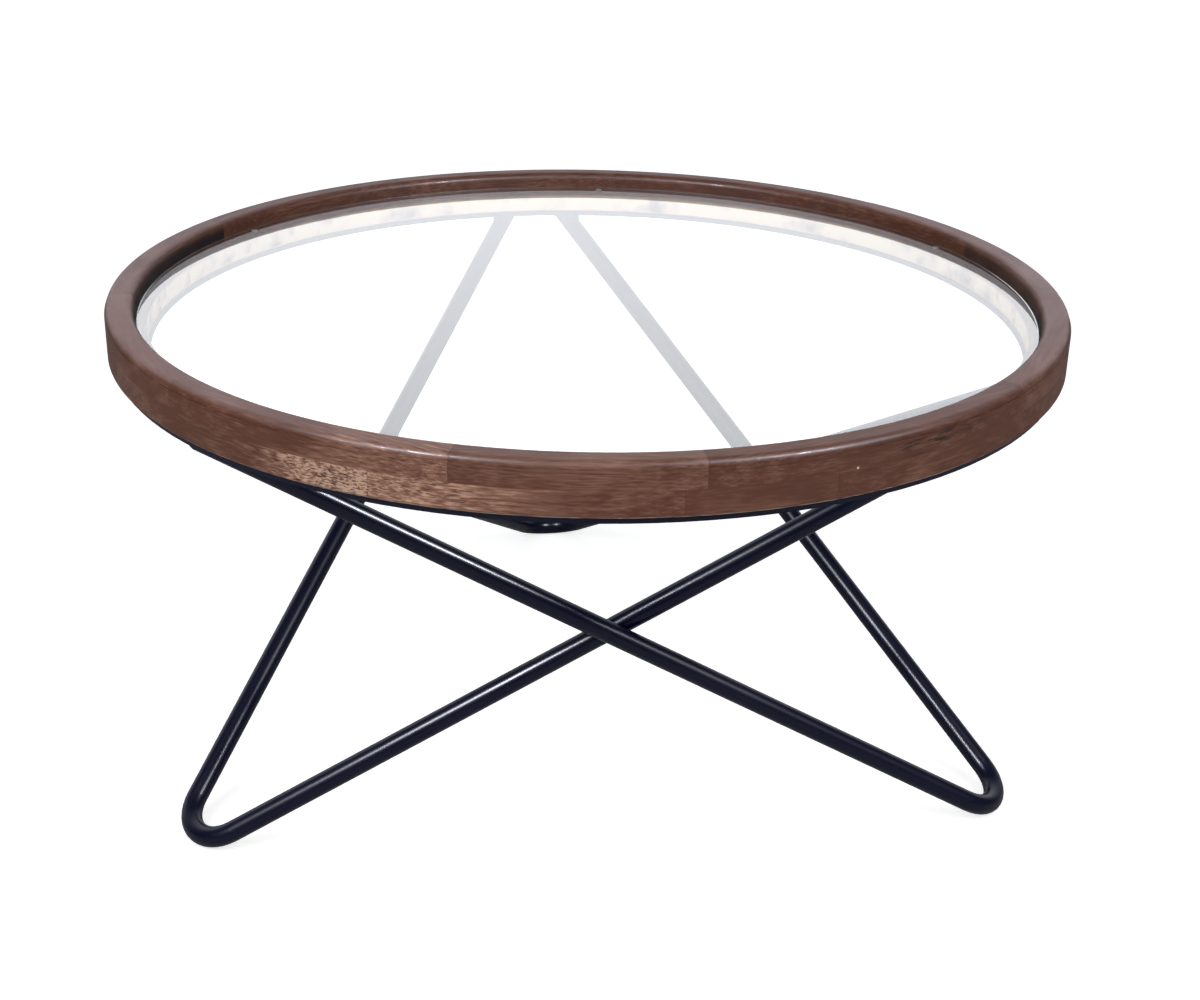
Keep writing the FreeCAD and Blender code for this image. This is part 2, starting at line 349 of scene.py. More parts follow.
@dataclass(frozen=True)
class WoodStain:
    """Walnut brown stain and satin lacquer on a pale, open-pored wood.

    A grain is a noise's cells per metre across, along and up the board. A gain is a strength off
    the golden figure, with what the figure adds to it. Any other pair is the two values between
    which a mask rises from 0 to 1. A share is how much of something shows in the shade.
    """

    dark: Colour = (0.032, 0.010, 0.006)
    middle: Colour = (0.110, 0.0430, 0.0220)
    light: Colour = (0.245, 0.134, 0.090)
    bare: Colour = (0.520, 0.360, 0.250)
    pore: Colour = (0.026, 0.009, 0.006)
    # Colour of the painted shade in the corner above the glass.
    pool: Colour = (0.012, 0.006, 0.010)
    filler: Colour = (0.80, 0.70, 0.58)
    # Colour of the painted sheen, which stands in for the lacquer's reflection on the flat top.
    bloom: Colour = (0.50, 0.35, 0.34)
    red: Colour = (1.16, 0.90, 0.84)
    raw: Colour = (0.80, 0.58, 0.36)
    dark_shade: float = 0.08
    middle_shade: float = 0.50
    light_shade: float = 0.76

    roughness: float = 0.48
    fibre_roughness: float = 0.22
    pore_roughness: float = 0.25
    specular: float = 0.25
    lacquer: float = 0.14
    least_lacquer: float = 0.10
    lacquer_roughness: float = 0.15
    lacquer_grain: Grain = (260, 75, 260)
    lacquer_patches: Span = (0.45, 0.60)
    relief: float = 0.50
    relief_depth: float = 0.0005
    fibre_relief: float = 0.35
    pore_relief: float = -0.45
    joint_relief: float = -0.50

    fibre_grain: Grain = (760, 66, 760)
    fibre_gain: Span = (0.8, 2.8)
    streak_grain: Grain = (330, 16, 330)
    blotch_grain: Grain = (34, 17, 34)
    blotch_share: float = 0.40
    ring_spacing: float = 0.0055
    ring_share: float = 0.02
    ring_pith: Point = (0.33, 0.0, 0.44)
    ring_bend: Point = (0.05, 0.0, 0.09)
    ring_bend_grain: Grain = (9, 4, 9)

    pore_grain: Grain = (820, 95, 820)
    pore_gain: Span = (0.25, 1.1)
    pore_crowd_grain: Grain = (60, 22, 60)
    pore_limit: float = 0.76
    pore_crowding: float = -0.18
    pore_opening: float = -0.07
    pore_fade: float = 0.07
    pore_strength: float = 0.5
    pore_most: float = 0.75

    figure_grain: Grain = (160, 45, 260)
    figure_share: float = 0.52
    figure_ragged: float = 9.0
    figure_core: float = 0.35

    scar_grain: Grain = (520, 60, 700)
    scar_seed: float = 7.7
    scar_dashes: Span = (0.50, 0.58)
    scar_reach: Span = (0.0075, 0.001)
    speck_reach: Span = (0.0011, 0.0006)

    face_radius: float = 0.4
    joint_width: float = 0.00045
    joint_core: float = 0.3
    joint_dark: float = 0.35
    line_core: float = 0.2
    # Pale arris line: partly bare wood, partly a painted highlight.
    edge_wear_height: float = 0.0019
    edge_wear_fibres: Span = (0.36, 0.60)
    # Painted shade in the crease under the outer roundover.
    shoulder_height: float = 0.4070
    shoulder_width: float = 0.0007
    shoulder_radius: float = 0.3975
    shoulder_blotches: Span = (0.40, 0.62)
    shoulder_dark: float = 0.55

    # Towards the wall the raw rebate fades back to the dark stain, as painted shade in the gap.
    raw_reach: Span = (0.3768, 0.3738)
    raw_height: Span = (0.3915, 0.3870)
    raw_grain: Grain = (110, 60, 60)
    raw_seed: float = 4.0
    raw_cover: Span = (0.08, 0.62)
    corner_shade_height: Span = (0.4148, 0.4050)
    corner_shade_reach: Span = (0.3870, 0.3768)
    bloom_height: Span = (0.4125, 0.4149)
    bloom_least: float = 0.5
    bloom_right: float = 0.50
    bloom_left: float = 0.30

    def bloom_share(self, turn: float) -> float:
        """Share of painted sheen at an azimuth of the rim: most at the right, less at the left, none in
        front.
        """
        side = math.cos(turn)
        return self.bloom_right * side**4 if side > 0 else self.bloom_left * side**2

    def speck_point(self, speck: Span) -> Vector:
        """Turn a speck's angle and height into its point on the rim's face."""
        turn = math.radians(speck[0])
        return Vector((self.face_radius * math.cos(turn), self.face_radius * math.sin(turn), speck[1]))

    def material(
        self, group: NodeTree, name: str, board: BoardPlace, look: BoardLook, arris: float
    ) -> Material:
        """Make one board's material.

        Args:
            group: The stained wood group.
            name: Name of the material.
            board: Where the board lies round the rim.
            look: How its wood differs.
            arris: Height of the rim's lower arris, where its pale line is painted.

        Returns:
            The material.
        """
        material, build, shader = new_material(name)
        turned = {"Vector": build.object_position(), "Rotation": (0.0, 0.0, -board.middle)}
        values = {label: getattr(look, field_name) for label, field_name in LOOK_LABELS.items()}
        values |= {
            "Position": build.node("ShaderNodeMapping", turned).outputs[0],
            "Speck": self.speck_point(look.speck),
            "Half Angle": math.degrees(board.half_angle),
            "Arris": arris,
            "Bloom Start": self.bloom_share(board.middle - board.half_angle),
            "Bloom End": self.bloom_share(board.middle + board.half_angle),
        }
        wood = build.node("ShaderNodeGroup", values, node_tree=group).outputs
        finish = {
            "Base Color": wood["Colour"],
            "Roughness": wood["Roughness"],
            "Normal": build.bumped(wood["Height"], self.relief, self.relief_depth),
            "Specular IOR Level": self.specular,
            "Coat Weight": wood["Lacquer"],
            "Coat Roughness": self.lacquer_roughness,
        }
        build.feed(shader, finish)
        return material


class WoodGroup(TreeBuilder):
    """Shader node group that draws the stained wood of one board.

    Its position input has X out from the table's middle, Y along and Z up the board.
    """

    def __init__(self, stain: WoodStain) -> None:
        """Make the sockets, and the places and masks that several parts read.

        Args:
            stain: Colours, sizes and strengths of the stain.
        """
        numbers = ("Half Angle", "Arris", "Bloom Start", "Bloom End", *LOOK_LABELS)
        inputs = dict.fromkeys(("Position", "Speck"), "NodeSocketVector")
        inputs |= dict.fromkeys(numbers, "NodeSocketFloat")
        outputs = {"Colour": "NodeSocketColor"}
        outputs |= dict.fromkeys(("Roughness", "Lacquer", "Height"), "NodeSocketFloat")
        super().__init__(new_tree("stained_wood", "ShaderNodeTree", inputs, outputs))
        self.stain = stain
        self.given = self.node("NodeGroupInput").outputs
        self.place = self.given["Position"]
        self.height = self.axis(self.place, "Z")
        self.radius = self.reach(self.place)
        turn = self.math("ARCTAN2", self.axis(self.place, "Y"), self.axis(self.place, "X"))
        self.angle = self.math("DEGREES", turn)
        self.fibre = self.grained(stain.fibre_grain, FINE)
        self.blotch = self.grained(stain.blotch_grain, CLOUDY)
        self.patch = self.figure()
        self.seam = self.joint()
        self.holes = self.pores()

    def join(self) -> NodeTree:
        """Draw the wood and link it to the outputs.

        Returns:
            The finished group.
        """
        stain = self.stain
        colour = self.mix(self.given["Redness"], self.stained(), stain.red, "MULTIPLY")
        layers = (
            # Painted sheen on the flat top, standing in for the lacquer's reflection.
            (self.bloomed(), stain.bloom),
            (self.holes, stain.pore),
            (self.scar(), stain.pore),
            (self.product(self.seam, stain.joint_dark), stain.pore),
            # Painted shade in the crease under the outer roundover.
            (self.shoulder(), stain.pore),
            # Painted shade in the corner above the glass.
            (self.pooled(), stain.pool),
            (self.speck(), stain.filler),
            # Pale arris line: partly bare wood, partly a painted highlight.
            (self.edge_wear(), stain.bare),
            # Raw rebate, with painted shade in the gap near the wall.
            (self.raw_rebate_with_gap_shade(), stain.raw),
        )
        for mask, paint in layers:
            colour = self.mix(mask, colour, paint)
        rough = self.swing(stain.roughness, self.fibre, stain.fibre_roughness)
        patchy = self.between(self.grained(stain.lacquer_grain, SOFT), *stain.lacquer_patches)
        patchy = self.math("MULTIPLY_ADD", patchy, 1.0 - stain.least_lacquer, stain.least_lacquer)
        height = self.math("MULTIPLY_ADD", self.fibre, stain.fibre_relief, 0.5)
        height = self.math("MULTIPLY_ADD", self.holes, stain.pore_relief, height)
        results = {
            "Colour": colour,
            "Roughness": self.math("MULTIPLY_ADD", self.holes, stain.pore_roughness, rough),
            "Lacquer": self.product(patchy, stain.lacquer),
            "Height": self.math("MULTIPLY_ADD", self.seam, stain.joint_relief, height),
        }
        self.node("NodeGroupOutput", results)
        return self.tree

    def grained(self, grain: Grain, detail: float) -> NodeSocket:
        """Noise on the board, in the board's own pattern."""
        return self.noise(self.place, grain, self.given["Seed"], detail)

    def stained(self) -> NodeSocket:
        """Colour of the stain: fibres, streaks, blotches and growth rings about the board's tone.

        Returns:
            The colour.
        """
        stain = self.stain
        least, gain = stain.fibre_gain
        clear = self.product(self.given["Fibres"], self.math("MULTIPLY_ADD", self.patch, gain, least))
        shade = self.swing(0.5, self.fibre, clear)
        shade = self.swing(shade, self.grained(stain.streak_grain, FINE), self.given["Streaks"])
        shade = self.swing(shade, self.blotch, stain.blotch_share)
        shade = self.math("MULTIPLY_ADD", self.rings(), stain.ring_share, shade)
        shade = self.math("ADD", shade, self.given["Tone"])
        shade = self.math("MULTIPLY_ADD", self.patch, stain.figure_share, shade)
        ramp = self.node("ShaderNodeValToRGB", {"Fac": shade})
        stops = ramp.color_ramp.elements
        stops[0].position = stain.dark_shade
        stops[0].color = (*stain.dark, 1.0)
        stops[1].color = (*stain.bare, 1.0)
        stops.new(stain.middle_shade).color = (*stain.middle, 1.0)
        stops.new(stain.light_shade).color = (*stain.light, 1.0)
        return ramp.outputs["Color"]

    def rings(self) -> NodeSocket:
        """Growth rings about a pith outside the board, bent by a slow noise.

        Returns:
            A wave from -1 to 1.
        """
        stain = self.stain
        wander = self.grained(stain.ring_bend_grain, SMOOTH)
        bend = self.vector_math("MULTIPLY", wander, stain.ring_bend).outputs[0]
        bent = self.vector_math("ADD", self.place, bend).outputs[0]
        flat = self.vector_math("MULTIPLY", bent, (1.0, 0.0, 1.0)).outputs[0]
        pith = self.vector_math("DISTANCE", flat, stain.ring_pith).outputs["Value"]
        return self.math("SINE", self.product(pith, FULL_TURN / stain.ring_spacing))

    def pores(self) -> NodeSocket:
        """Open pores: short dark dashes along the grain, thicker in some places than in others."""
        stain = self.stain
        least, gain = stain.pore_gain
        amount = self.product(self.given["Pores"], self.math("MULTIPLY_ADD", self.patch, gain, least))
        crowd = self.grained(stain.pore_crowd_grain, SMOOTH)
        limit = self.math("MULTIPLY_ADD", crowd, stain.pore_crowding, stain.pore_limit)
        limit = self.math("MULTIPLY_ADD", amount, stain.pore_opening, limit)
        dashes = self.grained(stain.pore_grain, SMOOTH)
        mask = self.between(dashes, limit, self.math("ADD", limit, stain.pore_fade))
        strength = self.math("MINIMUM", self.product(amount, stain.pore_strength), stain.pore_most)
        return self.product(mask, strength)

    def scar(self) -> NodeSocket:
        """Long dark mineral dashes within a small part of the board."""
        stain = self.stain
        seed = self.math("ADD", self.given["Seed"], stain.scar_seed)
        dashes = self.between(self.noise(self.place, stain.scar_grain, seed, RAGGED), *stain.scar_dashes)
        along = self.between(self.away(self.angle, self.given["Scar Angle"]), self.given["Scar Width"], 0.0)
        across = self.between(self.away(self.height, self.given["Scar Height"]), *stain.scar_reach)
        return self.product(dashes, along, across)

    def speck(self) -> NodeSocket:
        """Dot of pale filler at a point of the board."""
        distance = self.vector_math("DISTANCE", self.place, self.given["Speck"]).outputs["Value"]
        return self.between(distance, *self.stain.speck_reach)

    def shoulder(self) -> NodeSocket:
        """Painted shade: a thin dark line in the crease where the roundover of the outer edge meets the
        face.
        """
        stain = self.stain
        off = self.away(self.height, stain.shoulder_height)
        line = self.between(off, stain.shoulder_width, stain.shoulder_width * stain.line_core)
        outer = self.math("GREATER_THAN", self.radius, stain.shoulder_radius)
        shown = self.between(self.blotch, *stain.shoulder_blotches)
        return self.product(line, outer, shown, stain.shoulder_dark)

    def bloomed(self) -> NodeSocket:
        """Painted sheen on the flat top: greyish colour that stands in for the lacquer's reflection, and
        goes on evenly across the joints.
        """
        half = self.given["Half Angle"]
        ends = (self.product(half, -1.0), half)
        amount = self.evenly(self.angle, ends, (self.given["Bloom Start"], self.given["Bloom End"]))
        above = self.between(self.height, *self.stain.bloom_height)
        return self.product(above, amount, self.math("ADD", self.blotch, self.stain.bloom_least))

    def pooled(self) -> NodeSocket:
        """Painted shade on the inner wall, darker towards the glass in the corner above it."""
        down = self.between(self.height, *self.stain.corner_shade_height)
        return self.product(down, self.between(self.radius, *self.stain.corner_shade_reach), self.given["Pooled"])

    def figure(self) -> NodeSocket:
        """Pale golden patch with ragged ends, where the board's figure rejects the stain."""
        ragged = self.grained(self.stain.figure_grain, RAGGED)
        turn = self.swing(self.angle, ragged, self.stain.figure_ragged)
        off = self.away(turn, self.given["Figure Angle"])
        width = self.given["Figure Width"]
        edge = self.between(off, width, self.product(width, self.stain.figure_core))
        return self.product(edge, self.given["Figure"])

    def joint(self) -> NodeSocket:
        """Thin dark glue line at each end of the board."""
        left = self.math("SUBTRACT", self.given["Half Angle"], self.math("ABSOLUTE", self.angle))
        width = math.degrees(self.stain.joint_width / self.stain.face_radius)
        return self.between(left, width, width * self.stain.joint_core)

    def edge_wear(self) -> NodeSocket:
        """Pale line along the rim's lower arris: partly bare wood where sanding went through the stain,
        partly a painted highlight on the arris.
        """
        stain = self.stain
        above = self.math("SUBTRACT", self.height, self.given["Arris"])
        line = self.between(above, stain.edge_wear_height, stain.edge_wear_height * stain.line_core)
        return self.product(line, self.between(self.fibre, *stain.edge_wear_fibres))

    def raw_rebate_with_gap_shade(self) -> NodeSocket:
        """Mask of the rebate under the glass, which was left unstained; near the wall it fades back to the
        dark stain as painted shade in the gap.
        """
        stain = self.stain
        mottle = self.noise(self.place, stain.raw_grain, stain.raw_seed, RAGGED)
        cover = self.between(self.swing(self.blotch, mottle, 1.0), *stain.raw_cover)
        inside = self.between(self.radius, *stain.raw_reach)
        return self.product(inside, self.between(self.height, *stain.raw_height), cover)


@dataclass(frozen=True)
class PatchyFinish:
    """A finish whose colour and roughness change in patches, with or without small relief."""

    name: str
    colour: Colour
    patch: Colour
    cells: float
    seed: float
    detail: float
    roughness: float
    uneven: float = 0.2
    metallic: float = 0.0
    specular: float = 0.5
    alpha: float = 1.0
    relief: float = 0.0
    relief_depth: float = 0.0
    relief_cells: float = 0.0
    relief_seed: float = 0.0

    def material(self) -> Material:
        """Make the finish's material.

        Returns:
            The material.
        """
        material, build, shader = new_material(self.name)
        place = build.object_position()
        patchy = build.noise(place, self.cells, self.seed, self.detail)
        finish = {
            "Base Color": build.mix(patchy, self.colour, self.patch),
            "Roughness": build.swing(self.roughness, patchy, self.uneven),
            "Metallic": self.metallic,
            "Specular IOR Level": self.specular,
            "Alpha": self.alpha,
        }
        if self.relief:
            peel = build.noise(place, self.relief_cells, self.relief_seed, SMOOTH)
            finish["Normal"] = build.bumped(peel, self.relief, self.relief_depth)
        build.feed(shader, finish)
        return material


@dataclass(frozen=True)
class PowderCoat(PatchyFinish):
    """Black satin powder coat on steel, with a faint orange peel and dusty patches."""

    name: str = "black_satin_powder_coat"
    colour: Colour = (0.0008, 0.0014, 0.0150)
    patch: Colour = (0.0018, 0.0026, 0.0200)
    cells: float = 14.0
    seed: float = 3.0
    detail: float = SOFT
    roughness: float = 0.28
    uneven: float = 0.10
    specular: float = 0.31
    relief: float = 0.002
    relief_depth: float = 0.0002
    relief_cells: float = 420.0


@dataclass(frozen=True)
class ZincPlate(PatchyFinish):
    """Bright zinc plate of the screws, with a patchy passivated sheen."""

    name: str = "zinc_plate"
    colour: Colour = (0.55, 0.55, 0.57)
    patch: Colour = (0.60, 0.56, 0.46)
    cells: float = 500.0
    seed: float = 1.0
    detail: float = SOFT
    roughness: float = 0.32
    metallic: float = 1.0


@dataclass(frozen=True)
class SoftPlastic(PatchyFinish):
    """Clear soft plastic of the bumpers, slightly clouded."""

    name: str = "clear_soft_plastic"
    colour: Colour = (0.92, 0.94, 0.94)
    patch: Colour = (0.80, 0.84, 0.84)
    cells: float = 700.0
    seed: float = 2.0
    detail: float = SMOOTH
    roughness: float = 0.28
    alpha: float = 0.45


@dataclass(frozen=True)
class FloatGlass:
    """Clear float glass: clear through its faces, and dark green at its edge, partly the glass's own green
    and partly painted shade of the gap beside the rim.
    """

    tint: Colour = (0.985, 0.995, 0.990)
    # Edge colour: partly the glass's own green, partly painted shade of the gap beside the rim.
    ground_edge: Colour = (0.030, 0.060, 0.055)
    edge_radius: float = 0.3752
    edge_roughness: float = 0.45
    haze_cells: float = 9.0
    haze_seed: float = 5.0
    haze: Span = (0.45, 0.75)
    smudge: float = 0.012
    deep_colour: Colour = (0.62, 0.90, 0.80)
    deep_density: float = 7.0
    ior: float = 1.52

    def material(self) -> Material:
        """Make the glass. Light and shadow rays pass straight through it.

        Returns:
            The material.
        """
        material, build, shader = new_material("clear_float_glass")
        place = build.object_position()
        edge = build.math("GREATER_THAN", build.reach(place), self.edge_radius)
        haze = build.noise(place, self.haze_cells, self.haze_seed, RAGGED)
        smudged = build.product(build.between(haze, *self.haze), self.smudge)
        finish = {
            "Base Color": build.mix(edge, self.tint, self.ground_edge),
            "Roughness": build.math("MULTIPLY_ADD", edge, self.edge_roughness, smudged),
            "IOR": self.ior,
            "Transmission Weight": 1.0,
        }
        build.feed(shader, finish)
        path = build.node("ShaderNodeLightPath").outputs
        mirrored = build.math("SUBTRACT", path["Is Glossy Ray"], path["Is Transmission Ray"])
        passing = build.math("MAXIMUM", path["Is Shadow Ray"], path["Is Diffuse Ray"])
        passing = build.math("MAXIMUM", passing, mirrored)
        clear = build.node("ShaderNodeBsdfTransparent", {"Color": (*self.tint, 1.0)}).outputs[0]
        ends = {0: passing, 1: shader.outputs[0], 2: clear}
        depth = {"Color": (*self.deep_colour, 1.0), "Density": self.deep_density}
        result = {
            "Surface": build.node("ShaderNodeMixShader", ends).outputs[0],
            "Volume": build.node("ShaderNodeVolumeAbsorption", depth).outputs[0],
        }
        build.feed(material.node_tree.nodes["Material Output"], result)
        return material


BOARD_LOOKS: dict[tuple[Layer, int], BoardLook] = {
    (Layer.UPPER, 5): BoardLook(tone=0.03, redness=0.35, fibres=0.5, pooled=0.95, seed=5.2),
    (Layer.UPPER, 6): BoardLook(tone=0.03, redness=0.60, fibres=0.5, pooled=0.95, seed=3.1),
    (Layer.UPPER, 7): BoardLook(
        tone=0.01, redness=0.60, fibres=0.6, figure=0.30, figure_angle=14.0, figure_width=16.0, seed=8.4
    ),
    (Layer.UPPER, 8): BoardLook(
        tone=0.05, redness=0.50, fibres=0.5, pores=0.2, streaks=0.12, figure=0.10, figure_angle=8.0,
        figure_width=16.0, seed=12.9
    ),
    (Layer.UPPER, 9): BoardLook(
        redness=0.60, fibres=0.5, streaks=0.40, scar_angle=5.0, scar_width=10.0, scar_height=0.4045,
        speck=(-4.9, 0.3960), seed=17.2
    ),
    (Layer.UPPER, 10): BoardLook(tone=0.03, redness=0.55, fibres=0.5, streaks=0.25, pooled=0.95, seed=21.5),
    (Layer.UPPER, 11): BoardLook(tone=0.04, redness=0.40, fibres=0.5, pooled=0.60, seed=23.5),
    (Layer.LOWER, 5): BoardLook(redness=0.70, pores=0.2, seed=26.3),
    (Layer.LOWER, 6): BoardLook(
        tone=0.04, redness=0.40, pores=1.6, figure=0.68, figure_angle=19.0, figure_width=13.0, seed=30.8
    ),
    (Layer.LOWER, 7): BoardLook(
        tone=0.03, redness=0.60, fibres=0.54, pores=1.3, streaks=0.38, figure=0.58, figure_angle=-14.0,
        figure_width=20.0, seed=35.6
    ),
    (Layer.LOWER, 8): BoardLook(tone=0.01, redness=0.60, fibres=0.35, pores=0.2, streaks=0.10, seed=39.9),
    (Layer.LOWER, 9): BoardLook(redness=0.65, fibres=0.5, pores=0.3, streaks=0.25, seed=44.7),
    (Layer.LOWER, 10): BoardLook(redness=0.70, fibres=0.5, pores=0.3, seed=49.3),
}


@dataclass
class Rim:
    """The two layers of stained boards."""

    nodes: dict[str, Object]
    stain: WoodStain = WoodStain()
    board_count: int = 11
    tone_swing: float = 0.035
    tone_step: float = 2.4
    redness: float = 0.8
    redness_swing: float = 0.2
    redness_step: float = 4.1
    seed_step: float = 1.7
    lower_step: int = 5
    lower_seed: float = 20.0

    def look(self, layer: Layer, number: int) -> BoardLook:
        """Give a board's look: one listed for it, or one of a few mixed ones.

        Args:
            layer: The board's layer.
            number: The board's number in its layer.

        Returns:
            The look.
        """
        if (layer, number) in BOARD_LOOKS:
            return BOARD_LOOKS[layer, number]
        lower = layer is Layer.LOWER
        step = number + (self.lower_step if lower else 0)
        return BoardLook(
            tone=self.tone_swing * math.sin(self.tone_step * step),
            redness=self.redness + self.redness_swing * math.sin(self.redness_step * step),
            seed=self.seed_step * step + (self.lower_seed if lower else 0.0),
        )

    def dress(self) -> None:
        """Give every board its own wood."""
        group = WoodGroup(self.stain).join()
        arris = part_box("rim_lower_board_1")[0].z
        for layer in Layer:
            for number in range(1, self.board_count + 1):
                name = f"rim_{layer.value}_board_{number}"
                node = self.nodes[name]
                board = BoardPlace.of(node)
                look = self.look(layer, number)
                material = self.stain.material(group, f"wood_{layer.value}_{number}", board, look, arris)
                node.material_slots[0].material = material
                LOG.info("%s lies at %.1f degrees", name, math.degrees(board.middle))


@dataclass
class Base:
    """The steel ring, the three bent tube legs and their welds."""

    nodes: dict[str, Object]
    coat: PowderCoat = PowderCoat()
    bead: PowderCoat = PowderCoat(
        name="coated_weld_bead", relief=0.6, relief_depth=0.0009, relief_cells=210.0
    )
    leg_count: int = 3

    def dress(self) -> None:
        """Coat every steel piece."""
        smooth = self.coat.material()
        rippled = self.bead.material()
        finishes = {"support_ring": smooth}
        for number in range(1, self.leg_count + 1):
            finishes[f"leg_{number}"] = smooth
            finishes[f"ring_welds_{number}"] = rippled
            finishes[f"crossing_weld_{number}"] = rippled
        for name, finish in finishes.items():
            self.nodes[name].material_slots[0].material = finish
            LOG.info("%s is powder coated", name)


@dataclass
class GlassTop:
    """The loose glass disc."""

    nodes: dict[str, Object]
    glass: FloatGlass = FloatGlass()

    def dress(self) -> None:
        """Make the disc clear."""
        self.nodes["glass_top"].material_slots[0].material = self.glass.material()
        LOG.info("glass_top is clear float glass")


def ring_of_pieces_tree() -> NodeTree:
    """Build the geometry tree that sets copies of one piece out on a level circle.

    Returns:
        The tree, with named inputs for its sizes.
    """
    inputs = {
        "Geometry": "NodeSocketGeometry",
        "Piece": "NodeSocketObject",
        "Count": "NodeSocketInt",
        "Radius": "NodeSocketFloat",
        "Start Angle": "NodeSocketFloat",
        "Height": "NodeSocketFloat",
        "Most Spin": "NodeSocketFloat",
        "Seed": "NodeSocketInt",
        "Material": "NodeSocketMaterial",
    }
    tree = new_tree("ring_of_pieces", "GeometryNodeTree", inputs, {"Geometry": "NodeSocketGeometry"})
    build = TreeBuilder(tree)
    given = build.node("NodeGroupInput").outputs
    circle = build.node("GeometryNodeMeshCircle", {"Vertices": given["Count"], "Radius": given["Radius"]})
    moved = {
        "Geometry": circle.outputs[0],
        "Translation": build.node("ShaderNodeCombineXYZ", {"Z": given["Height"]}).outputs[0],
        "Rotation": build.node("ShaderNodeCombineXYZ", {"Z": given["Start Angle"]}).outputs[0],
    }
    # Socket 3 is the most that a plain number may be, and output 1 gives it.
    spun = {3: given["Most Spin"], "Seed": given["Seed"]}
    spin = build.node("FunctionNodeRandomValue", spun, data_type="FLOAT")
    copied = {
        "Points": build.node("GeometryNodeTransform", moved).outputs[0],
        "Instance": build.node("GeometryNodeObjectInfo", {"Object": given["Piece"]}).outputs["Geometry"],
        "Rotation": build.node("ShaderNodeCombineXYZ", {"Z": spin.outputs[1]}).outputs[0],
    }
    copies = build.node("GeometryNodeInstanceOnPoints", copied).outputs[0]
    real = build.node("GeometryNodeRealizeInstances", {"Geometry": copies}).outputs[0]
    dressed = {"Geometry": real, "Material": given["Material"]}
    build.node("NodeGroupOutput", {0: build.node("GeometryNodeSetMaterial", dressed).outputs[0]})
    return tree


def evaluate_tree(name: str, tree: NodeTree, values: dict[str, Any]) -> Object:
    """Run a geometry tree once and keep its result as a plain mesh.

    Args:
        name: Name of the finished object.
        tree: The geometry tree.
        values: Values by input name.

    Returns:
        The finished object.
    """
    carrier = new_object(f"{name}_carrier", bpy.data.meshes.new(f"{name}_carrier"))
    modifier = carrier.modifiers.new("tree", "NODES")
    modifier.node_group = tree
    for item in tree.interface.items_tree:
        if item.item_type == "SOCKET" and item.in_out == "INPUT" and item.name in values:
            modifier[item.identifier] = values[item.name]
    bpy.context.view_layer.update()
    evaluated = carrier.evaluated_get(bpy.context.evaluated_depsgraph_get())
    mesh = bpy.data.meshes.new_from_object(evaluated)
    mesh.name = name
    carrier.modifiers.remove(modifier)
    bpy.data.objects.remove(carrier)
    return new_object(name, mesh)


@dataclass(frozen=True)
class Station:
    """One ring of points of a turned piece: its radius and height, and whether it has a cross's outline."""

    radius: float
    height: float
    crossed: bool = False


def cross_radius(reach: float, half_width: float, turn: float) -> float:
    """Distance from the middle of a cross to its outline.

    Args:
        reach: Length of an arm.
        half_width: Half of an arm's width.
        turn: Direction in radians.

    Returns:
        The distance.
    """
    off = abs(math.remainder(turn, QUARTER_TURN))
    return min(reach, half_width / max(math.sin(off), SMALLEST_SINE))


def turned_piece(name: str, stations: Sequence[Station], sides: int, arm: float) -> Object:
    """Build a closed piece ring by ring about the vertical axis.

    Args:
        name: Name of the object.
        stations: The rings from one end of the axis to the other.
        sides: Number of sides round the axis.
        arm: Half of the arm's width in crossed rings.

    Returns:
        The piece, smooth but for its sharp edges.
    """
    work = bmesh.new()
    rings = []
    for station in stations:
        ring = []
        for side in range(sides):
            turn = FULL_TURN * side / sides
            radius = cross_radius(station.radius, arm, turn) if station.crossed else station.radius
            ring.append(work.verts.new((radius * math.cos(turn), radius * math.sin(turn), station.height)))
        rings.append(ring)
    for lower, upper in zip(rings, rings[1:]):
        for side in range(sides):
            following = (side + 1) % sides
            work.faces.new((lower[side], lower[following], upper[following], upper[side]))
    work.faces.new(rings[0])
    work.faces.new(rings[-1])
    bmesh.ops.recalc_face_normals(work, faces=work.faces)
    mesh = bpy.data.meshes.new(name)
    work.to_mesh(mesh)
    work.free()
    mesh.shade_smooth()
    mesh.set_sharp_from_angle(angle=SHARP_ANGLE)
    return new_object(name, mesh)


@dataclass
class Fixings:
    """Small turned fixings on a level circle, which stand for one node of the frame.

    The arm is half the width of a recess's arms, and each fixing is turned by up to the most spin.
    """

    node: str
    name: str
    slot: Slot
    circle: float
    start_angle: float
    count: int = 6
    sides: int = 32
    arm: float = 0.0
    most_spin: float = 0.0
    seed: int = 0

    def stations(self, length: float) -> list[Station]:
        """List the rings of points of one fixing, from its lower end up."""
        raise NotImplementedError

    def build(self, tree: NodeTree, material: Material) -> None:
        """Build the fixings where the frame has them.

        Args:
            tree: The tree that sets copies out on a circle.
            material: Their finish.
        """
        low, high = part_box(self.node)
        pattern = turned_piece(f"{self.name}_pattern", self.stations(high.z - low.z), self.sides, self.arm)
        values = {
            "Piece": pattern,
            "Count": self.count,
            "Radius": self.circle,
            "Start Angle": self.start_angle,
            "Height": low.z,
            "Most Spin": self.most_spin,
            "Seed": self.seed,
            "Material": material,
        }
        built = evaluate_tree(self.name, tree, values)
        bpy.data.objects.remove(pattern)
        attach(built, TABLE_BODY)
        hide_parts(self.node)
        LOG.info("%s: %d pieces", built.name, self.count)


